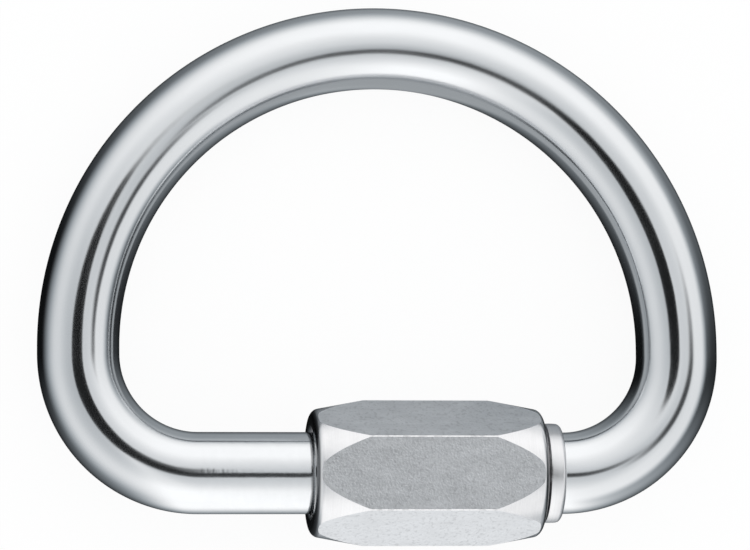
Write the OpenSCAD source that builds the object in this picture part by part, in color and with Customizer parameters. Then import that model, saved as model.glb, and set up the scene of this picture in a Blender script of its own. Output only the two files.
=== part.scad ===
// Chain quick link: a D-shaped loop of round bar, closed on its straight side by a long hexagon sleeve nut.
// It lies as it comes to rest: the nut stands on one flat at z = 0 and the crown leans down to the same floor.
// X runs along the nut, towards the stop collar. Y runs from the nut to the crown. Z is up. Millimetres.

/* [Bar and eye] */
// Diameter of the round bar
bar_d = 10; // [9:0.25:11]
// Clear width of the eye, side to side, and the inside diameter of its half-round crown
eye_width = 64; // [63:0.5:80]
// Inside radius of the corners beside the nut
corner_radius = 9.5; // [6:0.25:10]
// Length of the short straight sides between the crown and the corners
side_length = 0.9; // [0.3:0.1:20]

/* [Opening and threads] */
// Width of the gap that the nut uncovers
gap_width = 11; // [9:0.25:12]
// Threaded length of the arm tip that the nut closes on
tip_engagement = 5.5; // [4:0.25:7]
// Threaded length of the arm that carries the nut
carrier_thread = 12; // [8:0.25:13]
// Height of the rolled thread above the bar
thread_height = 0.5; // [0.3:0.05:0.8]
// Radial clearance between the thread crests and the nut's bore
thread_clearance = 0.05; // [0.02:0.01:0.1]
// Chamfer on the two arm tips
tip_chamfer = 0.9; // [0.3:0.1:1.5]

/* [Stop collar] */
// Height of the collar above the bar
collar_height = 1.1; // [0.8:0.05:1.6]
// Width of the collar's cylindrical land
collar_land = 1.35; // [0.6:0.05:2]
// Radius of the rounded edge at the collar's back
collar_round = 0.6; // [0.3:0.05:0.75]
// Distance from the collar's back to the start of the bend
collar_setback = 0.4; // [0.1:0.1:1]

/* [Sleeve nut] */
// Length of the nut
nut_length = 28.5; // [24:0.1:30.4]
// Width across the flats
nut_flats = 15.5; // [15:0.25:20]
// Angle of the turned ends, to the nut's axis
cone_angle = 10.5; // [8:0.5:25]
// Distance from each end at which the turned cone, carried on under the rim, meets the middle of a flat
cone_start = 0.3; // [0.1:0.1:1]
// Radius of the rounded rim round each end face
rim_radius = 1.1; // [0.5:0.1:1.4]
// Chamfer at the mouths of the bore
mouth_chamfer = 0.3; // [0.1:0.05:0.6]
// Gap between the closed nut and the collar, which the last quarter of a turn takes up
seat_gap = 0.4; // [0.1:0.05:0.6]

/* [Hidden] */
$fn = 96;

// The loop's centre line, in the plane of the loop, with the nut's side on y = 0:
// a half-round crown, a short straight on each side, two quarter-round corners and the two arms
bar_r = bar_d / 2;
crown_r = eye_width / 2 + bar_r;
bend_r = corner_radius + bar_r;
bend_x = crown_r - bend_r;
crown_y = bend_r + side_length;
loop_height = crown_y + crown_r;

// Places along the nut's side
collar_r = bar_r + collar_height;
collar_back = bend_x - collar_setback;
collar_face = collar_back - collar_round - collar_land;
stop_tip = collar_face - tip_engagement;
carrier_tip = stop_tip - gap_width;
nut_end = collar_face - seat_gap;
nut_start = nut_end - nut_length;

// Thread and bore
thread_r = bar_r + thread_height;
bore_r = thread_r + thread_clearance;

// Turned form of the nut's ends: a cone, and a rim that rounds the cone into the end face
nut_corner_r = nut_flats / 2 / cos(30);
rim_y = nut_flats / 2 + (rim_radius - cone_start) * tan(cone_angle) - rim_radius / cos(cone_angle);
rim_tangent = [rim_y + rim_radius * cos(cone_angle), rim_radius * (1 - sin(cone_angle))];
cone_meet = [nut_flats / 2 + (nut_length / 2 - cone_start) * tan(cone_angle), nut_length / 2];
mouth_margin = 1;
mouth = [bore_r + mouth_chamfer + mouth_margin, -mouth_margin];

// A point of the nut's profile, taken to the same place at the other end
function other_end(point) = [point[0], nut_length - point[1]];

// Lying pose: the nut's axis is half its flats high, and the crown's bar touches the floor
axis_height = nut_flats / 2;
lean = asin((axis_height - bar_r) / loop_height);
axis_y = (nut_corner_r - loop_height * cos(lean) - bar_r) / 2;

// Turns a flat outline about the X axis: its own x is the radius and its y the place along X
module turned_along_x() {
    rotate([0, 90, 0])
        rotate_extrude()
            children();
}

// A bend of the bar: an arc in the plane of the loop, from one angle through a sweep
module bend(centre, radius, from, sweep) {
    translate(centre)
        rotate([0, 0, from])
            rotate_extrude(angle = sweep)
                translate([radius, 0])
                    circle(r = bar_r);
}

// A short straight of the bar between the crown and a corner
module side(x) {
    translate([x, bend_r, 0])
        rotate([-90, 0, 0])
            cylinder(h = side_length, r = bar_r);
}

// The arm with the short thread, the gap's far side: tip, thread, collar, bar
module stop_arm() {
    turned_along_x() {
        polygon([
            [0, stop_tip],
            [thread_r - tip_chamfer, stop_tip],
            [thread_r, stop_tip + tip_chamfer],
            [thread_r, collar_face],
            [collar_r, collar_face],
            [collar_r, collar_face + collar_land],
            [collar_r - collar_round, collar_back],
            [bar_r, collar_back],
            [bar_r, bend_x],
            [0, bend_x]
        ]);
        translate([collar_r - collar_round, collar_face + collar_land])
            circle(r = collar_round);
    }
}

// The arm that carries the nut: bar, thread, tip
module carrier_arm() {
    turned_along_x()
        polygon([
            [0, -bend_x],
            [bar_r, -bend_x],
            [bar_r, carrier_tip - carrier_thread],
            [thread_r, carrier_tip - carrier_thread + thread_height],
            [thread_r, carrier_tip - tip_chamfer],
            [thread_r - tip_chamfer, carrier_tip],
            [0, carrier_tip]
        ]);
}

// The nut's turned outside: end faces, rounded rims and the two long cones, which meet outside the corners
module nut_turning() {
    rotate_extrude() {
        polygon([
            [0, 0],
            [rim_y, 0],
            rim_tangent,
            cone_meet,
            other_end(rim_tangent),
            other_end([rim_y, 0]),
            other_end([0, 0])
        ]);
        for (place = [[rim_y, rim_radius], other_end([rim_y, rim_radius])])
            translate(place)
                circle(r = rim_radius);
    }
}

// The nut's bore with a chamfered mouth at each end
module nut_bore() {
    rotate_extrude()
        polygon([
            [0, mouth[1]],
            mouth,
            [bore_r, mouth_chamfer],
            other_end([bore_r, mouth_chamfer]),
            other_end(mouth),
            other_end([0, mouth[1]])
        ]);
}

// One piece of bar: crown, sides, corners and two arms with a gap between their tips
module link_body() {
    color("silver")
        translate([0, axis_y, axis_height])
            rotate([-lean, 0, 0]) {
                bend([0, crown_y, 0], crown_r, 0, 180);
                side(crown_r);
                side(-crown_r);
                bend([bend_x, bend_r, 0], bend_r, -90, 90);
                bend([-bend_x, bend_r, 0], bend_r, 180, 90);
                stop_arm();
                carrier_arm();
            }
}

// Hexagon sleeve with turned ends and a bore right through, shown screwed up to the collar
module sleeve_nut() {
    color("lightgray")
        translate([nut_start, axis_y, axis_height])
            rotate([0, 90, 0])
                difference() {
                    intersection() {
                        rotate([0, 0, 30])
                            cylinder(h = nut_length, r = nut_corner_r, $fn = 6);
                        nut_turning();
                    }
                    nut_bore();
                }
}

link_body();
sleeve_nut();
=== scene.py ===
"""Chain quick link: a loop of polished bar and its hexagon sleeve nut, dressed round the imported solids."""

import math

import bmesh
import bpy
from bpy.props import FloatProperty, FloatVectorProperty, IntProperty, PointerProperty
from mathutils import Matrix, Vector


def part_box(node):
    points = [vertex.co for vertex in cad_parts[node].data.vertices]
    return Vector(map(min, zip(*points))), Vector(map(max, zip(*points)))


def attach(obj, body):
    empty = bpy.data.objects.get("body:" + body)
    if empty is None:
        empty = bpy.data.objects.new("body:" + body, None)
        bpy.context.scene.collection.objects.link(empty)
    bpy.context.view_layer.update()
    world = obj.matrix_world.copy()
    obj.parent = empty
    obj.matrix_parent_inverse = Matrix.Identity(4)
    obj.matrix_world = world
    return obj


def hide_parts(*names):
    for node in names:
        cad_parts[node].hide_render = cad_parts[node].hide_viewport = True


bl_info = {
    "name": "Chain quick link",
    "version": (1, 0, 0),
    "blender": (4, 5, 0),
    "location": "View3D > Sidebar > Quick link",
    "description": "Models and finishes a D-shaped chain quick link with a hexagon sleeve nut",
    "category": "Object",
}

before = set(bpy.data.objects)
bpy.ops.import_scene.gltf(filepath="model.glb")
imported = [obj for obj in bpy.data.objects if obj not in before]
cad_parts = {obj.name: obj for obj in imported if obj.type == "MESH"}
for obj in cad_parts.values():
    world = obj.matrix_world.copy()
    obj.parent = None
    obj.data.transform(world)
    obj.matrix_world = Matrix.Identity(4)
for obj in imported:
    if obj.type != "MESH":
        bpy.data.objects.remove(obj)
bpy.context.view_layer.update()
LINK_LOW, LINK_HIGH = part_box("link_body")
NUT_LOW, NUT_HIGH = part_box("sleeve_nut")
MM = 0.001

# The picture's frame in pixels, the camera's sensor in millimetres and its farthest view in metres
FRAME_WIDTH_PX = 750
FRAME_HEIGHT_PX = 550
SENSOR_WIDTH_MM = 36
CAMERA_REACH = 20

# Sides, steps and segments of the meshes
HEX_SIDES = 6
CORNER_STEPS = 60
CROWN_STEPS = 200
COLLAR_LAND_STEPS = 6
COLLAR_BACK_STEPS = 8
THREAD_STEPS_PER_TURN = 72
BREAK_SEGMENTS = 3
RIM_SEGMENTS = 14
MOUTH_SEGMENTS = 2
OVAL_SEGMENTS = 64

# The collar's slight crown, and the slack within which a face counts as the collar's
COLLAR_CROWN = 0.03 * MM
COLLAR_SLACK = 1 * MM

# Fine form of the threads. The ridge's half widths are shares of its pitch.
THREAD_SINK = 0.05 * MM
THREAD_RUNOUT = 0.2 * MM
HALF_FOOT_SHARE = 0.31
HALF_CREST_SHARE = 0.1

# Edges that turn more than this are corners
CORNER_ANGLE = math.radians(25)

# What still counts as the same place, on a cutting plane, on a flat, or a normal square to the nut's axis
SAME_PLACE = 1e-7
ON_PLANE = 1e-8
ON_FLAT = 1e-6
SQUARE_ENOUGH = 1e-4

# Material slots of the loop and of the nut
BAR_FINISH, COLLAR_FINISH = range(2)
TURNED_FINISH, FLAT_FINISH, EDGE_FINISH = range(3)

# Density of the finishes' patterns, in grains to the metre: outwards, up and along the bar, or on X, Y, Z
DRAWN_LINES = (5000, 5000, 90)
BAR_WAVES = (420, 420, 160)
BAR_SMEARS = (600, 600, 120)
TURNED_LINES = (7000, 60, 60)
TURNED_SMEARS = (700, 700, 700)
FLAT_GRAIN = (3700, 3700, 3700)
FLAT_MOTTLE = (300, 800, 800)
FLAT_SPECKS = (2200, 2200, 2200)
EDGE_RUBS = (1400, 1400, 1400)
EDGE_SCRATCHES = (4200, 4200, 4200)

# Heights of the finishes' relief, and of the bar's lines as a share of its waves
BAR_RELIEF = 0.012 * MM
LINE_HEIGHT = 0.06
TURNED_RELIEF = 0.004 * MM
FLAT_RELIEF = 0.052 * MM
EDGE_RELIEF = 0.01 * MM

# Between these places, from nut to crown, the bar's polish gets duller
DULLING_STARTS = 14 * MM
DULLING_ENDS = 25 * MM

# The ovals that only reflections show: the share of each that is solid, before its soft edge, and its level
OVAL_TONES = {
    "camera_flag": (0.85, 0.012),
    "boom_flag": (0.5, 0.04),
    "stand_flag": (0.3, 0.06),
    # A grey sheet in the eye: a painted shadow of the loop on the floor, seen only in reflections
    "painted_floor_shadow": (0.7, 0.4),
}
OVAL_TINT = (0.95, 1.0, 1.04)
# Ovals that overlap lie at different heights, because they would speckle in one plane
FLAG_SPACING = 4 * MM
SHADE_HEIGHT = 0.3 * MM

# The dome's sides: two heights, and the levels below the first and above the second.
# A height is 1 towards the camera, 0 level and -1 away from it. The foot and the top are factors.
DOME_LEFT = (-0.5, 0.5, 0.006, 0.8)
DOME_RIGHT = (-0.13, 0.28, 0.01, 0.86)
DOME_FAR = (-0.6, 0.25, 0.38, 1.17)
DOME_FAR_FOOT = (-1.0, -0.72, 0.3, 1.0)
DOME_NEAR = (-1.15, -0.3, 0.03, 1.23)
DOME_TOP = (0.55, 1.0, 1.0, 0.72)
# How far across the left end gives way to the right one
END_CHANGE = 0.3
# The near side's light: a narrow core and a wide spread, each with its power and its share
NEAR_CORE_POWER = 24
NEAR_CORE_SHARE = 0.75
NEAR_SPREAD_POWER = 1.5
NEAR_SPREAD_SHARE = 0.25
# The far side's light comes from a little to the right
FAR_ALONG = 0.966
FAR_ACROSS = 0.259
FAR_POWER = 2
# Keeps a division safe straight up and down
TINY = 0.0001
# Below the untinted level, the darker the dome the bluer it is
SHADE_TINT = (0.84, 0.93, 1.0)
LIGHT_TINT = (1, 1, 1)
UNTINTED_LEVEL = 1.15
# Strength of the white that the camera sees on the floor
WHITE_STRENGTH = 1.025


def length_property(name, description, millimetres):
    """A length, given in millimetres and kept in metres."""
    return FloatProperty(
        name=name, description=description, default=millimetres * MM, unit="LENGTH", precision=5
    )


def angle_property(name, description, degrees):
    """An angle, given in degrees and kept in radians."""
    return FloatProperty(name=name, description=description, default=math.radians(degrees), subtype="ANGLE")


def share_property(name, description, default):
    """A plain number from 0 to 1."""
    return FloatProperty(name=name, description=description, default=default, min=0, max=1, subtype="FACTOR")


def colour_property(name, description, default):
    """A colour."""
    return FloatVectorProperty(
        name=name, description=description, default=default, min=0, max=1, size=3, subtype="COLOR"
    )


class QuickLinkSizes(bpy.types.PropertyGroup):
    """Sizes of the bar, the arms, the threads, the collar and the nut"""

    bar_diameter: length_property("Bar diameter", "Thickness of the round bar", 10)
    corner_radius: length_property("Corner radius", "Inside radius of the corners beside the nut", 9.5)
    tip_engagement: length_property("Tip engagement", "Thread on the arm tip that the nut closes on", 5.5)
    gap_width: length_property("Gap width", "Gap between the arm tips", 11)
    carrier_thread: length_property("Carrier thread", "Thread on the arm that carries the nut", 12)
    thread_height: length_property("Thread height", "Height of the rolled thread above the bar", 0.5)
    thread_pitch: length_property("Thread pitch", "Travel of the nut in one turn", 1.5)
    tip_chamfer: length_property("Tip chamfer", "Chamfer on the two arm tips", 0.9)
    collar_height: length_property("Collar height", "Height of the stop collar above the bar", 1.1)
    collar_land: length_property("Collar land", "Width of the collar's cylindrical part", 1.35)
    collar_round: length_property("Collar round", "Radius of the rounded edge at the collar's back", 0.6)
    seat_gap: length_property("Seat gap", "Gap between the closed nut and the collar", 0.4)
    bore_clearance: length_property(
        "Bore clearance", "Gap between the thread's crests and the nut's bore", 0.05
    )
    cone_angle: angle_property("Cone angle", "Angle of the nut's turned ends to its axis", 10.5)
    cone_start: length_property(
        "Cone start", "Distance from the end at which the cone meets the middle of a flat", 0.3
    )
    rim_radius: length_property("Rim radius", "Rounding between the nut's cone and its end face", 1.1)
    mouth_chamfer: length_property("Mouth chamfer", "Chamfer at the mouths of the nut's bore", 0.3)
    hex_edge: length_property("Hexagon edge", "Width of the break along the nut's six long edges", 0.16)
    turned_edge: length_property("Turned edge", "Width of the break on turned corners", 0.09)
    bar_segments: IntProperty(name="Bar segments", description="Points round the bar", default=96, min=24)
    nut_segments: IntProperty(name="Nut segments", description="Points round the nut", default=240, min=48)


class QuickLinkFinish(bpy.types.PropertyGroup):
    """Colours of the bar and the nut, and the blur of what they mirror"""

    bar_colour: colour_property("Bar colour", "Polished steel of the bar", (0.80, 0.815, 0.83))
    bar_roughness: share_property("Bar roughness", "Blur of the bar's reflections", 0.12)
    crown_dulling: share_property("Crown dulling", "Blur that the less polished crown adds", 0.058)
    turned_colour: colour_property("Turned colour", "Turned nut ends, collar and threads", (0.83, 0.83, 0.84))
    # Painted shade: the nut's end faces are coloured dark to stand for the shade they lie in
    end_shade_colour: colour_property("End colour", "Dark end faces of the nut", (0.2, 0.203, 0.207))
    turned_roughness: share_property("Turned roughness", "Blur of the turned ends and threads", 0.2)
    collar_roughness: share_property("Collar roughness", "Blur of the stop collar", 0.34)
    flat_colour: colour_property("Flat colour", "Grained flats of the nut", (0.785, 0.80, 0.82))
    flat_roughness: share_property("Flat roughness", "Blur of the grained flats", 0.395)
    edge_colour: colour_property("Edge colour", "Worn long edges of the nut", (0.88, 0.88, 0.885))
    edge_roughness: share_property("Edge roughness", "Blur of the worn edges", 0.26)


class QuickLinkStage(bpy.types.PropertyGroup):
    """Camera, floor, light and the dark ovals that the bar mirrors"""

    lean_left: angle_property("Lean left", "Camera's lean from straight down to the nut's free end", 7.8)
    lean_near: angle_property("Lean near", "Camera's lean from straight down to the nut's side", 2.75)
    distance: length_property("Camera distance", "From the camera to the part", 550)
    pixels_per_mm: FloatProperty(
        name="Pixels per millimetre", description="Scale of the picture at the part", default=8.1657
    )
    aim_x: FloatProperty(
        name="Aim across", description="Picture place of the aimed point", default=381.03, subtype="PIXEL"
    )
    aim_y: FloatProperty(
        name="Aim down", description="Picture place of the aimed point", default=275.42, subtype="PIXEL"
    )
    aim_height: length_property("Aim height", "Height over the floor of the aimed point", 8)
    floor_size: length_property("Floor size", "Width of the floor", 6000)
    floor_colour: colour_property("Floor colour", "Pale floor", (0.9, 0.9, 0.9))
    floor_white: share_property("Floor white", "Share of plain white in the floor that the camera sees", 0.9)
    dome_strength: FloatProperty(name="Dome strength", description="Level of the studio dome", default=1.0)
    flag_x: length_property("Flag across", "Place of the camera's dark flag along the nut", -99)
    flag_y: length_property("Flag along", "Place of the camera's dark flag from nut to crown", 20)
    flag_height: length_property("Flag height", "Height of the camera's dark flag", 465)
    flag_width: length_property("Flag width", "Size of the camera's dark flag along the nut", 275)
    flag_depth: length_property("Flag depth", "Size of the camera's dark flag from nut to crown", 280)
    boom_x: length_property("Boom across", "Place of the camera boom along the nut", 50)
    boom_y: length_property("Boom along", "Place of the camera boom from nut to crown", -72)
    boom_width: length_property("Boom width", "Length of the camera boom", 340)
    boom_depth: length_property("Boom depth", "Thickness of the camera boom", 140)
    stand_x: length_property("Stand across", "Place of the camera stand along the nut", 312)
    stand_y: length_property("Stand along", "Place of the camera stand from nut to crown", -22)
    stand_width: length_property("Stand width", "Thickness of the camera stand", 240)
    stand_depth: length_property("Stand depth", "Length of the camera stand", 400)
    stand_turn: angle_property("Stand turn", "Turn of the camera stand from nut to crown", -24)
    # The shade oval is a painted shadow: a grey sheet in the eye that only reflections show
    shade_x: length_property("Shade across", "Place of the shaded floor in the eye along the nut", 3)
    shade_y: length_property("Shade along", "Place of the shaded floor in the eye from nut to crown", 0)
    shade_width: length_property("Shade width", "Size of the shaded floor along the nut", 25)
    shade_depth: length_property("Shade depth", "Size of the shaded floor from nut to crown", 52)


class LoopPlan:
    """The loop's derived sizes. Its own frame has the nut's axis on X and the crown towards +Y."""

    def __init__(self, sizes):
        self.bar_r = sizes.bar_diameter / 2
        self.crown_r = (LINK_HIGH.x - LINK_LOW.x) / 2 - self.bar_r
        self.bend_r = sizes.corner_radius + self.bar_r
        self.bend_x = self.crown_r - self.bend_r
        self.axis = Vector((0, (NUT_LOW.y + NUT_HIGH.y) / 2, (NUT_LOW.z + NUT_HIGH.z) / 2))
        reach = LINK_HIGH.y - self.bar_r - self.axis.y
        drop = self.axis.z - (LINK_LOW.z + self.bar_r)
        lean = math.atan2(drop, reach)
        self.crown_y = math.hypot(reach, drop) - self.crown_r
        self.collar_face = NUT_HIGH.x + sizes.seat_gap
        self.collar_r = self.bar_r + sizes.collar_height
        self.collar_back = self.collar_face + sizes.collar_land + sizes.collar_round
        self.stop_tip = self.collar_face - sizes.tip_engagement
        self.carrier_tip = self.stop_tip - sizes.gap_width
        self.thread_r = self.bar_r + sizes.thread_height
        self.bore_r = self.thread_r + sizes.bore_clearance
        self.to_row = Matrix.Translation(self.axis) @ Matrix.Rotation(-lean, 4, "X")

    def unbend(self, point):
        """The point's place on the bar as if it were straight: offset outwards, offset up, distance along."""
        arm = self.bend_x - self.stop_tip
        corner = self.bend_r * math.pi / 2
        side = self.crown_y - self.bend_r
        crown = self.crown_r * math.pi
        x, y, z = point
        right = x > 0
        if y > self.crown_y:
            radius = math.hypot(x, y - self.crown_y)
            swept = self.crown_r * math.atan2(y - self.crown_y, x)
            return Vector((radius - self.crown_r, z, arm + corner + side + swept))
        if abs(x) <= self.bend_x:
            along = x - self.stop_tip if right else arm + 2 * corner + 2 * side + crown + x + self.bend_x
            return Vector((-y, z, along))
        if y > self.bend_r:
            past = y - self.bend_r if right else side + crown + self.crown_y - y
            return Vector((abs(x) - self.crown_r, z, arm + corner + past))
        radius = math.hypot(abs(x) - self.bend_x, y - self.bend_r)
        turned = self.bend_r * math.atan2(abs(x) - self.bend_x, self.bend_r - y)
        along = arm + turned if right else arm + 2 * corner + 2 * side + crown - turned
        return Vector((radius - self.bend_r, z, along))


class BarSweep:
    """Draws a round bar out of its first ring, piece by piece."""

    def __init__(self, bm, x, radius, segments):
        self.bm = bm
        turn = Matrix.Rotation(math.pi / 2, 4, "Y")
        made = bmesh.ops.create_circle(
            bm, cap_ends=True, segments=segments, radius=radius, matrix=Matrix.Translation((x, 0, 0)) @ turn
        )
        self.x = x
        self.radius = radius
        self.take_ring(made["verts"])

    def take_ring(self, geometry):
        """The open ring that the next piece starts from, its edges in a fixed order."""
        self.verts = [item for item in geometry if isinstance(item, bmesh.types.BMVert)]
        ring = set(self.verts)
        touching = dict.fromkeys(edge for vert in self.verts for edge in vert.link_edges)
        self.edges = [edge for edge in touching if ring.issuperset(edge.verts)]

    def straight(self, vector):
        """A straight stretch."""
        made = bmesh.ops.extrude_edge_only(self.bm, edges=self.edges)
        self.take_ring(made["geom"])
        bmesh.ops.translate(self.bm, verts=self.verts, vec=vector)

    def turned(self, x, radius):
        """A turned step along the X axis to a new place and radius."""
        self.straight((x - self.x, 0, 0))
        grow = radius / self.radius
        bmesh.ops.scale(self.bm, verts=self.verts, vec=(1, grow, grow))
        self.x = x
        self.radius = radius

    def bend(self, centre, angle, steps):
        """An arc in the plane of the loop."""
        made = bmesh.ops.spin(
            self.bm, geom=self.verts + self.edges, cent=centre, axis=(0, 0, 1), angle=angle, steps=steps
        )
        self.take_ring(made["geom_last"])

    def cap(self):
        """Closes the last ring."""
        bmesh.ops.edgeloop_fill(self.bm, edges=self.edges)


def round_off(bm, geometry, reach, segments, affect):
    """Rounds off the given edges, or the given corners of an outline."""
    bmesh.ops.bevel(
        bm,
        geom=geometry,
        offset=reach,
        offset_type="OFFSET",
        segments=segments,
        profile=0.5,
        affect=affect,
        material=-1,
    )


def turned_corners(bm):
    """Edges whose two faces meet at a corner."""
    return [e for e in bm.edges if len(e.link_faces) == 2 and e.calc_face_angle() > CORNER_ANGLE]


def mesh_object(bm, name, materials):
    """Turns the bmesh into an object of the scene."""
    mesh = bpy.data.meshes.new(name)
    bm.to_mesh(mesh)
    bm.free()
    for material in materials:
        mesh.materials.append(material)
    made = bpy.data.objects.new(name, mesh)
    bpy.context.scene.collection.objects.link(made)
    return made


def finish_mesh(bm, name, body, materials):
    """Turns the bmesh into a piece that rides on a body."""
    bmesh.ops.recalc_face_normals(bm, faces=bm.faces)
    for face in bm.faces:
        face.smooth = True
    piece = mesh_object(bm, name, materials)
    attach(piece, body)
    return piece


class Wire:
    """A node's output. Arithmetic on it adds Math nodes."""

    def __init__(self, graph, socket):
        self.graph = graph
        self.socket = socket

    def __add__(self, other):
        return self.graph.math("ADD", self, other)

    def __sub__(self, other):
        return self.graph.math("SUBTRACT", self, other)

    def __rsub__(self, other):
        return self.graph.math("SUBTRACT", other, self)

    def __mul__(self, other):
        return self.graph.math("MULTIPLY", self, other)

    def __truediv__(self, other):
        return self.graph.math("DIVIDE", self, other)

    def __rtruediv__(self, other):
        return self.graph.math("DIVIDE", other, self)

    def __pow__(self, other):
        return self.graph.math("POWER", self, other)

    def __rpow__(self, other):
        return self.graph.math("POWER", other, self)

    __radd__ = __add__
    __rmul__ = __mul__


class Graph:
    """The nodes of one material or world."""

    def __init__(self, owner):
        owner.use_nodes = True
        self.tree = owner.node_tree
        self.tree.nodes.clear()

    def node(self, kind, settings, inputs, output=0):
        """Adds a node, sets it up, feeds its sockets and gives one of its outputs, if it has any."""
        node = self.tree.nodes.new(kind)
        for name, value in settings.items():
            setattr(node, name, value)
        for key, value in inputs.items():
            if isinstance(value, Wire):
                self.tree.links.new(value.socket, node.inputs[key])
            else:
                node.inputs[key].default_value = value
        return Wire(self, node.outputs[output]) if node.outputs else None

    def math(self, operation, *values):
        """A Math node."""
        return self.node("ShaderNodeMath", {"operation": operation}, dict(enumerate(values)))

    def place(self):
        """Places on the piece, in metres."""
        return self.node("ShaderNodeTexCoord", {}, {}, "Object")

    def attribute(self, name, output):
        """Values that the mesh keeps at its points."""
        return self.node("ShaderNodeAttribute", {"attribute_name": name}, {}, output)

    def ray(self, kind):
        """1 for rays of one kind and 0 for all others."""
        return self.node("ShaderNodeLightPath", {}, {}, kind)

    def noise(self, vector, density, detail):
        """Noise from 0 to 1, with about so many grains in a metre along each axis."""
        stretched = self.node("ShaderNodeVectorMath", {"operation": "MULTIPLY"}, {0: vector, 1: density})
        return self.node("ShaderNodeTexNoise", {}, {"Vector": stretched, "Scale": 1, "Detail": detail})

    def swing(self, pattern, amount):
        """A pattern from 0 to 1, brought round zero and scaled."""
        return (pattern - 0.5) * amount

    def step(self, value, low, high, to_low=0.0, to_high=1.0):
        """A smooth step from one value to another."""
        inputs = {"Value": value, "From Min": low, "From Max": high, "To Min": to_low, "To Max": to_high}
        return self.node("ShaderNodeMapRange", {"interpolation_type": "SMOOTHSTEP"}, inputs)

    def blend(self, factor, first, second):
        """A mix of two colours."""
        ends = [end if isinstance(end, Wire) else (*end, 1) for end in (first, second)]
        return self.node("ShaderNodeMix", {"data_type": "RGBA"}, {0: factor, 6: ends[0], 7: ends[1]}, 2)

    def shades(self, tone, base, darkest, lightest):
        """A colour that goes from a darker to a lighter shade of its base, as the tone goes from 0 to 1."""
        dark, light = (tuple(min(1, part * factor) for part in base) for factor in (darkest, lightest))
        return self.blend(tone, dark, light)

    def metal(self, colour, roughness, height, relief):
        """The metal's surface, with a relief of so many metres."""
        bump = {"Strength": 1.0, "Distance": relief, "Height": height}
        normal = self.node("ShaderNodeBump", {}, bump)
        inputs = {"Base Color": colour, "Roughness": roughness, "Normal": normal, "Metallic": 1.0}
        surface = self.node("ShaderNodeBsdfPrincipled", {}, inputs)
        self.node("ShaderNodeOutputMaterial", {}, {"Surface": surface})

    def mixed(self, factor, first, second):
        """A mix of two surfaces."""
        return self.node("ShaderNodeMixShader", {}, {0: factor, 1: first, 2: second})


def polished_bar(finish):
    """Polished drawn bar: mirror-like, with faint lines along it and slow waves that bend the reflections."""
    material = bpy.data.materials.new("polished_bar")
    graph = Graph(material)
    unbent = graph.attribute("unbent", "Vector")
    lines = graph.noise(unbent, DRAWN_LINES, detail=3)
    waves = graph.noise(unbent, BAR_WAVES, detail=2)
    smears = graph.noise(unbent, BAR_SMEARS, detail=4)
    colour = graph.shades(smears, finish.bar_colour, darkest=0.95, lightest=1.04)
    toward_crown = graph.node("ShaderNodeSeparateXYZ", {}, {0: graph.place()}, "Y")
    dulled = graph.step(toward_crown, DULLING_STARTS, DULLING_ENDS) * finish.crown_dulling
    roughness = finish.bar_roughness + graph.swing(lines, 0.06) + graph.swing(smears, 0.08) + dulled
    height = waves + lines * LINE_HEIGHT
    graph.metal(colour, roughness, height, BAR_RELIEF)
    return material


def turned_steel(name, blur, finish):
    """Bright turned steel with fine lines round it, and end faces painted dark as shade."""
    material = bpy.data.materials.new(name)
    graph = Graph(material)
    place = graph.place()
    lines = graph.noise(place, TURNED_LINES, detail=2)
    smears = graph.noise(place, TURNED_SMEARS, detail=3)
    tone = smears * 0.5 + lines * 0.5
    bright = graph.shades(tone, finish.turned_colour, darkest=0.86, lightest=1.14)
    # Painted shade: faces that look along the nut's axis take the dark end colour
    end_face = graph.step(graph.attribute("endwise", "Fac"), low=0.5, high=0.75)
    colour = graph.blend(end_face, bright, finish.end_shade_colour)
    roughness = blur + graph.swing(lines, 0.12) + graph.swing(smears, 0.1)
    graph.metal(colour, roughness, lines, TURNED_RELIEF)
    return material


def grained_flat(finish):
    """Flats of the hexagon bar: dull, with a fine grain, dark pits and slow clouds."""
    material = bpy.data.materials.new("grained_flat")
    graph = Graph(material)
    place = graph.place()
    grain = graph.noise(place, FLAT_GRAIN, detail=2)
    mottle = graph.noise(place, FLAT_MOTTLE, detail=3)
    specks = graph.step(graph.noise(place, FLAT_SPECKS, detail=1), low=0.29, high=0.48)
    tone = grain * 0.25 + mottle * 0.47 + specks * 0.28
    colour = graph.shades(tone, finish.flat_colour, darkest=0.69, lightest=1.17)
    roughness = finish.flat_roughness + graph.swing(mottle, 0.12)
    graph.metal(colour, roughness, grain, FLAT_RELIEF)
    return material


def worn_edge(finish):
    """The hexagon's long edges, rubbed bright in places."""
    material = bpy.data.materials.new("worn_edge")
    graph = Graph(material)
    place = graph.place()
    rubbed = graph.step(graph.noise(place, EDGE_RUBS, detail=3), low=0.35, high=0.6)
    colour = graph.shades(rubbed, finish.edge_colour, darkest=0.78, lightest=1)
    roughness = finish.edge_roughness - graph.swing(rubbed, 0.2)
    scratches = graph.noise(place, EDGE_SCRATCHES, detail=2)
    graph.metal(colour, roughness, scratches, EDGE_RELIEF)
    return material


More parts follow.
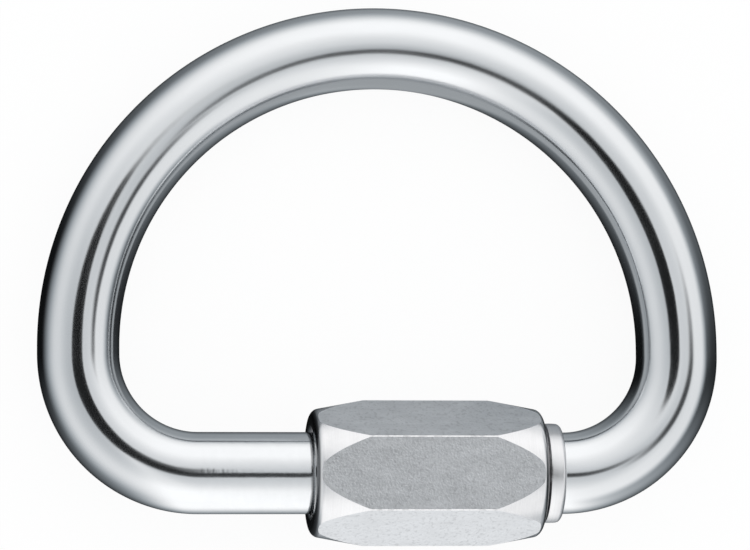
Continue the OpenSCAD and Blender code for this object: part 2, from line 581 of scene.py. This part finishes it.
class QUICKLINK_OT_link_body(bpy.types.Operator):
    """Draw the bar loop: stop arm, corners, crown and carrier arm"""

    bl_idname = "quicklink.link_body"
    bl_label = "Bar loop"

    def execute(self, context):
        sizes = context.scene.quicklink_sizes
        finish = context.scene.quicklink_finish
        plan = LoopPlan(sizes)
        bm = bmesh.new()
        self.sweep(bm, sizes, plan)
        round_off(bm, turned_corners(bm), sizes.turned_edge, BREAK_SEGMENTS, "EDGES")
        for face in bm.faces:
            face.material_index = self.finish_of(face, plan)
        unbent = bm.verts.layers.float_vector.new("unbent")
        for vert in bm.verts:
            vert[unbent] = plan.unbend(vert.co)
        bmesh.ops.transform(bm, matrix=plan.to_row, verts=bm.verts)
        materials = [polished_bar(finish), turned_steel("collar_steel", finish.collar_roughness, finish)]
        piece = finish_mesh(bm, "bar_loop", "link_body", materials)
        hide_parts("link_body")
        return {"FINISHED"}

    def sweep(self, bm, sizes, plan):
        """The bar from the stop arm's tip round the crown to the carrier arm's tip."""
        chamfer = sizes.tip_chamfer / 2
        side = plan.crown_y - plan.bend_r
        bar = BarSweep(bm, plan.stop_tip, plan.bar_r - chamfer, sizes.bar_segments)
        bar.turned(plan.stop_tip + chamfer, plan.bar_r)
        bar.turned(plan.collar_face, plan.bar_r)
        self.collar(bar, sizes, plan)
        bar.turned(plan.bend_x, plan.bar_r)
        bar.bend((plan.bend_x, plan.bend_r, 0), math.pi / 2, CORNER_STEPS)
        bar.straight((0, side, 0))
        bar.bend((0, plan.crown_y, 0), math.pi, CROWN_STEPS)
        bar.straight((0, -side, 0))
        bar.bend((-plan.bend_x, plan.bend_r, 0), math.pi / 2, CORNER_STEPS)
        # The bends have carried the ring to the start of the other arm
        bar.x = -plan.bend_x
        bar.turned(plan.carrier_tip - chamfer, plan.bar_r)
        bar.turned(plan.carrier_tip, plan.bar_r - chamfer)
        bar.cap()

    def collar(self, bar, sizes, plan):
        """The stop collar: a square front, a hardly crowned land and a rounded back."""
        for step in range(COLLAR_LAND_STEPS + 1):
            place = step / COLLAR_LAND_STEPS
            radius = plan.collar_r - COLLAR_CROWN * (2 * place - 1) ** 2
            bar.turned(plan.collar_face + sizes.collar_land * place, radius)
        for step in range(1, COLLAR_BACK_STEPS + 1):
            angle = step / COLLAR_BACK_STEPS * math.pi / 2
            radius = plan.collar_r - COLLAR_CROWN - sizes.collar_round * (1 - math.cos(angle))
            bar.turned(plan.collar_back - sizes.collar_round * (1 - math.sin(angle)), radius)
        bar.turned(plan.collar_back, plan.bar_r)
        bar.turned(plan.collar_back + 2 * sizes.turned_edge, plan.bar_r)

    def finish_of(self, face, plan):
        """Which of the loop's finishes the face has: the bar's polish or the collar's turned steel."""
        centre = face.calc_center_median()
        along_collar = plan.collar_face - COLLAR_SLACK < centre.x < plan.collar_back
        round_collar = plan.bar_r < centre.yz.length < plan.collar_r + COLLAR_SLACK
        return COLLAR_FINISH if along_collar and round_collar else BAR_FINISH


class QUICKLINK_OT_arm_threads(bpy.types.Operator):
    """Roll the threads on the two arm tips"""

    bl_idname = "quicklink.arm_threads"
    bl_label = "Arm threads"

    def execute(self, context):
        sizes = context.scene.quicklink_sizes
        finish = context.scene.quicklink_finish
        plan = LoopPlan(sizes)
        material = turned_steel("thread_steel", finish.turned_roughness, finish)
        stop = (plan.stop_tip, plan.collar_face, 1)
        carrier = (plan.carrier_tip, plan.carrier_tip - sizes.carrier_thread, -1)
        for name, (tip, end, way) in {"stop_thread": stop, "carrier_thread": carrier}.items():
            bm = bmesh.new()
            self.ridge(bm, sizes, plan, min(tip, end), abs(end - tip))
            for vert in bm.verts:
                self.trim(vert, sizes, plan, (vert.co.x - tip) * way, (end - vert.co.x) * way)
            bmesh.ops.transform(bm, matrix=plan.to_row, verts=bm.verts)
            finish_mesh(bm, name, "link_body", [material])
        return {"FINISHED"}

    def ridge(self, bm, sizes, plan, start, span):
        """A helical ridge, its foot sunk a little into the bar."""
        pitch = sizes.thread_pitch
        foot = plan.bar_r - THREAD_SINK
        half_foot = HALF_FOOT_SHARE * pitch
        half_crest = HALF_CREST_SHARE * pitch
        outline = [
            (-half_foot, foot),
            (-half_crest, plan.thread_r),
            (half_crest, plan.thread_r),
            (half_foot, foot),
        ]
        verts = [bm.verts.new((start + half_foot + x, 0, radius)) for x, radius in outline]
        first = [bm.edges.new((verts[i - 1], verts[i])) for i in range(len(verts))]
        turns = (span - 2 * half_foot) / pitch
        steps = round(turns * THREAD_STEPS_PER_TURN)
        made = bmesh.ops.spin(
            bm,
            geom=verts + first,
            cent=(0, 0, 0),
            axis=(1, 0, 0),
            dvec=(pitch / THREAD_STEPS_PER_TURN, 0, 0),
            angle=steps * 2 * math.pi / THREAD_STEPS_PER_TURN,
            steps=steps,
        )
        last = [item for item in made["geom_last"] if isinstance(item, bmesh.types.BMEdge)]
        bmesh.ops.edgeloop_fill(bm, edges=first)
        bmesh.ops.edgeloop_fill(bm, edges=last)

    def trim(self, vert, sizes, plan, from_tip, from_end):
        """Lowers the ridge to the tip's chamfer and lets it run out at the other end."""
        radius = math.hypot(vert.co.y, vert.co.z)
        at_tip = plan.thread_r - sizes.tip_chamfer + from_tip
        at_end = plan.bar_r + max(0, from_end - THREAD_RUNOUT)
        limit = max(min(at_tip, at_end), plan.bar_r - THREAD_SINK)
        if radius > limit:
            vert.co.y *= limit / radius
            vert.co.z *= limit / radius


class QUICKLINK_OT_sleeve_nut(bpy.types.Operator):
    """Turn the sleeve nut and cut its six flats"""

    bl_idname = "quicklink.sleeve_nut"
    bl_label = "Sleeve nut"

    def execute(self, context):
        sizes = context.scene.quicklink_sizes
        finish = context.scene.quicklink_finish
        plan = LoopPlan(sizes)
        flat_r = (NUT_HIGH.z - NUT_LOW.z) / 2
        bm = bmesh.new()
        self.turn(bm, sizes, plan, flat_r)
        half_angle = math.pi / HEX_SIDES
        edge_r = flat_r / math.cos(half_angle) - sizes.hex_edge / 2 * math.tan(half_angle)
        for step in range(2 * HEX_SIDES):
            normal = Vector((0, math.sin(step * half_angle), math.cos(step * half_angle)))
            self.cut(bm, normal, edge_r if step % 2 else flat_r)
        bm.normal_update()
        for face in bm.faces:
            face.material_index = self.finish_of(face, flat_r, edge_r)
        for edge in bm.edges:
            kinds = {face.material_index for face in edge.link_faces}
            edge.smooth = len(kinds) == 1 and edge.calc_face_angle() < CORNER_ANGLE
        endwise = bm.verts.layers.float.new("endwise")
        for vert in bm.verts:
            vert[endwise] = abs(vert.normal.x)
        bmesh.ops.translate(bm, verts=bm.verts, vec=(NUT_LOW.x, plan.axis.y, plan.axis.z))
        turned = turned_steel("turned_steel", finish.turned_roughness, finish)
        materials = [turned, grained_flat(finish), worn_edge(finish)]
        piece = finish_mesh(bm, "hexagon_sleeve", "sleeve_nut", materials)
        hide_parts("sleeve_nut")
        return {"FINISHED"}

    def turn(self, bm, sizes, plan, flat_r):
        """The turned blank: bore, mouths, end faces, rounded rims and two long cones."""
        span = NUT_HIGH.x - NUT_LOW.x
        slope = math.tan(sizes.cone_angle)
        mouth_r = plan.bore_r + sizes.mouth_chamfer
        corner_r = flat_r - sizes.cone_start * slope
        crest_r = flat_r + (span / 2 - sizes.cone_start) * slope
        half = [(sizes.mouth_chamfer, plan.bore_r), (0, mouth_r), (0, corner_r)]
        outline = half + [(span / 2, crest_r)] + [(span - x, radius) for x, radius in reversed(half)]
        verts = [bm.verts.new((x, 0, radius)) for x, radius in outline]
        for i in range(len(verts)):
            bm.edges.new((verts[i - 1], verts[i]))
        # The rims stand on both sides of the crest, where the cones meet
        crest = len(half)
        rims = [verts[crest - 1], verts[crest + 1]]
        rim_reach = sizes.rim_radius * math.tan((math.pi / 2 - sizes.cone_angle) / 2)
        round_off(bm, rims, rim_reach, RIM_SEGMENTS, "VERTICES")
        mouths = [v for v in bm.verts if abs(v.co.z - mouth_r) < SAME_PLACE]
        round_off(bm, mouths, sizes.turned_edge, MOUTH_SEGMENTS, "VERTICES")
        bmesh.ops.spin(
            bm,
            geom=bm.verts[:] + bm.edges[:],
            cent=(0, 0, 0),
            axis=(1, 0, 0),
            angle=2 * math.pi,
            steps=sizes.nut_segments,
            use_merge=True,
        )
        bmesh.ops.remove_doubles(bm, verts=bm.verts, dist=SAME_PLACE)
        bmesh.ops.recalc_face_normals(bm, faces=bm.faces)

    def cut(self, bm, normal, distance):
        """Cuts the blank with a plane along the axis and closes the cut."""
        made = bmesh.ops.bisect_plane(
            bm,
            geom=bm.verts[:] + bm.edges[:] + bm.faces[:],
            dist=ON_PLANE,
            plane_co=normal * distance,
            plane_no=normal,
            clear_outer=True,
        )
        cut = [item for item in made["geom_cut"] if isinstance(item, bmesh.types.BMEdge)]
        bmesh.ops.edgeloop_fill(bm, edges=cut)

    def finish_of(self, face, flat_r, edge_r):
        """Which of the nut's finishes the face has: turned, grained flat or worn edge."""
        distance = face.calc_center_median().dot(face.normal)
        if abs(face.normal.x) > SQUARE_ENOUGH or distance < flat_r - ON_FLAT:
            return TURNED_FINISH
        return FLAT_FINISH if distance < (flat_r + edge_r) / 2 else EDGE_FINISH


class QUICKLINK_OT_stage(bpy.types.Operator):
    """Set the floor, the dark ovals, the studio dome and the camera"""

    bl_idname = "quicklink.stage"
    bl_label = "Stage"

    def execute(self, context):
        stage = context.scene.quicklink_stage
        toward = Vector((-math.tan(stage.lean_left), -math.tan(stage.lean_near), 1)).normalized()
        right = Vector((0, 1, 0)).cross(toward).normalized()
        axes = (right, toward.cross(right), toward)
        self.floor(stage)
        self.ovals(stage)
        self.dome(context, stage, axes)
        self.camera(context, stage, axes)
        context.scene.view_settings.view_transform = "Standard"
        return {"FINISHED"}

    def floor(self, stage):
        """A pale floor that shows white with a faint shadow. Mirrors look through it at the dome."""
        bm = bmesh.new()
        bmesh.ops.create_grid(bm, x_segments=1, y_segments=1, size=stage.floor_size / 2)
        material = bpy.data.materials.new("pale_floor")
        graph = Graph(material)
        white_share = graph.ray("Is Camera Ray") * stage.floor_white
        mirrored = graph.math("MAXIMUM", graph.ray("Is Glossy Ray"), graph.ray("Is Transmission Ray"))
        matt = graph.node("ShaderNodeBsdfDiffuse", {}, {"Color": (*stage.floor_colour, 1)})
        white = graph.node("ShaderNodeEmission", {}, {"Color": (1, 1, 1, 1), "Strength": WHITE_STRENGTH})
        clear = graph.node("ShaderNodeBsdfTransparent", {}, {})
        surface = graph.mixed(mirrored, graph.mixed(white_share, matt, white), clear)
        graph.node("ShaderNodeOutputMaterial", {}, {"Surface": surface})
        piece = mesh_object(bm, "floor", [material])

    def ovals(self, stage):
        """The camera, its boom and its stand over the part, and a grey sheet over the floor in the eye: a
        painted shadow of the loop.
        """
        low = stage.flag_height
        middle = low + FLAG_SPACING
        high = middle + FLAG_SPACING
        camera = (stage.flag_x, stage.flag_y, low)
        boom = (stage.boom_x, stage.boom_y, middle)
        stand = (stage.stand_x, stage.stand_y, high)
        shade = (stage.shade_x, stage.shade_y, SHADE_HEIGHT)
        self.oval("camera_flag", camera, stage.flag_width, stage.flag_depth)
        self.oval("boom_flag", boom, stage.boom_width, stage.boom_depth)
        self.oval("stand_flag", stand, stage.stand_width, stage.stand_depth, stage.stand_turn)
        # Painted shadow: a grey sheet just over the floor in the eye, where the loop shades the floor
        self.oval("painted_floor_shadow", shade, stage.shade_width, stage.shade_depth)

    def oval(self, name, place, width, depth, turn=0):
        """A dark oval with a soft edge that only reflections show."""
        bm = bmesh.new()
        bmesh.ops.create_circle(bm, cap_ends=True, cap_tris=True, segments=OVAL_SEGMENTS, radius=0.5)
        # 0 in the middle and 1 on the rim
        outward = bm.verts.layers.float.new("outward")
        for vert in bm.verts:
            vert[outward] = 2 * vert.co.length
        bmesh.ops.scale(bm, verts=bm.verts, vec=(width, depth, 1))
        bmesh.ops.rotate(bm, verts=bm.verts, matrix=Matrix.Rotation(turn, 3, "Z"))
        bmesh.ops.translate(bm, verts=bm.verts, vec=place)
        solid, level = OVAL_TONES[name]
        grey = tuple(level * part for part in OVAL_TINT)
        material = bpy.data.materials.new(name)
        graph = Graph(material)
        softened = graph.step(graph.attribute("outward", "Fac"), low=solid, high=1.0)
        dark = graph.node("ShaderNodeEmission", {}, {"Color": (*grey, 1), "Strength": 1.0})
        clear = graph.node("ShaderNodeBsdfTransparent", {}, {})
        graph.node("ShaderNodeOutputMaterial", {}, {"Surface": graph.mixed(softened, dark, clear)})
        piece = mesh_object(bm, name, [material])
        piece.visible_camera = False
        piece.visible_diffuse = False
        piece.visible_shadow = False

    def dome(self, context, stage, axes):
        """A soft white dome, brightest at the nut's side, that falls off to dark at the two ends."""
        world = bpy.data.worlds.new("studio_dome")
        context.scene.world = world
        graph = Graph(world)
        direction = graph.node("ShaderNodeTexCoord", {}, {}, "Generated")
        across, along, height = (
            graph.node("ShaderNodeVectorMath", {"operation": "DOT_PRODUCT"}, {0: direction, 1: axis}, "Value")
            for axis in axes
        )
        left = graph.step(height, *DOME_LEFT)
        right = graph.step(height, *DOME_RIGHT)
        far = graph.step(height, *DOME_FAR) * graph.step(height, *DOME_FAR_FOOT)
        near = graph.step(height, *DOME_NEAR)
        rightward = graph.step(across, -END_CHANGE, END_CHANGE)
        ends = left + (right - left) * rightward
        level_way = (across * across + along * along + TINY) ** 0.5
        near_way = graph.math("MAXIMUM", 0 - along / level_way, 0)
        core = near_way ** NEAR_CORE_POWER * NEAR_CORE_SHARE
        spread = near_way ** NEAR_SPREAD_POWER * (rightward * NEAR_SPREAD_SHARE + NEAR_SPREAD_SHARE)
        near_share = graph.math("MINIMUM", core + spread, 1)
        far_way = graph.math("MAXIMUM", (along * FAR_ALONG + across * FAR_ACROSS) / level_way, 0)
        level = ends + (near - ends) * near_share + (far - ends) * far_way ** FAR_POWER
        level = level * graph.step(height, *DOME_TOP) * stage.dome_strength
        shown = level + (1 - level) * graph.ray("Is Camera Ray")
        tint = graph.blend(graph.step(level, 0.0, UNTINTED_LEVEL), SHADE_TINT, LIGHT_TINT)
        light = graph.node("ShaderNodeBackground", {}, {"Color": tint, "Strength": shown})
        graph.node("ShaderNodeOutputWorld", {}, {"Surface": light})

    def camera(self, context, stage, axes):
        """A long lens over the part, leaning towards the nut's free end."""
        data = bpy.data.cameras.new("camera")
        data.sensor_fit = "HORIZONTAL"
        data.sensor_width = SENSOR_WIDTH_MM
        data.lens = stage.pixels_per_mm / MM * stage.distance * SENSOR_WIDTH_MM / FRAME_WIDTH_PX
        data.clip_end = CAMERA_REACH
        right, up, toward = axes
        metres_per_px = MM / stage.pixels_per_mm
        aim = Vector((0, 0, stage.aim_height))
        aim += right * (FRAME_WIDTH_PX / 2 - stage.aim_x) * metres_per_px
        aim += up * (stage.aim_y - FRAME_HEIGHT_PX / 2) * metres_per_px
        camera = bpy.data.objects.new("camera", data)
        turn = Matrix(axes).transposed().to_4x4()
        camera.matrix_world = Matrix.Translation(aim + toward * stage.distance) @ turn
        context.scene.collection.objects.link(camera)
        context.scene.camera = camera


class QUICKLINK_PT_panel(bpy.types.Panel):
    """Lists the pieces, the stage and their settings"""

    bl_idname = "QUICKLINK_PT_panel"
    bl_label = "Quick link"
    bl_space_type = "VIEW_3D"
    bl_region_type = "UI"
    bl_category = "Quick link"

    def draw(self, context):
        layout = self.layout
        scene = context.scene
        for operator in OPERATORS:
            layout.operator(operator.bl_idname)
        for settings in (scene.quicklink_sizes, scene.quicklink_finish, scene.quicklink_stage):
            for name in settings.bl_rna.properties.keys():
                if name not in ("rna_type", "name"):
                    layout.prop(settings, name)


GROUPS = (QuickLinkSizes, QuickLinkFinish, QuickLinkStage)
OPERATORS = (QUICKLINK_OT_link_body, QUICKLINK_OT_arm_threads, QUICKLINK_OT_sleeve_nut, QUICKLINK_OT_stage)
CLASSES = (*GROUPS, *OPERATORS, QUICKLINK_PT_panel)


def register():
    for cls in CLASSES:
        bpy.utils.register_class(cls)
    bpy.types.Scene.quicklink_sizes = PointerProperty(type=QuickLinkSizes)
    bpy.types.Scene.quicklink_finish = PointerProperty(type=QuickLinkFinish)
    bpy.types.Scene.quicklink_stage = PointerProperty(type=QuickLinkStage)


def unregister():
    del bpy.types.Scene.quicklink_stage
    del bpy.types.Scene.quicklink_finish
    del bpy.types.Scene.quicklink_sizes
    for cls in reversed(CLASSES):
        bpy.utils.unregister_class(cls)


def main():
    register()
    bpy.ops.quicklink.link_body()
    bpy.ops.quicklink.arm_threads()
    bpy.ops.quicklink.sleeve_nut()
    bpy.ops.quicklink.stage()


if __name__ == "__main__":
    main()
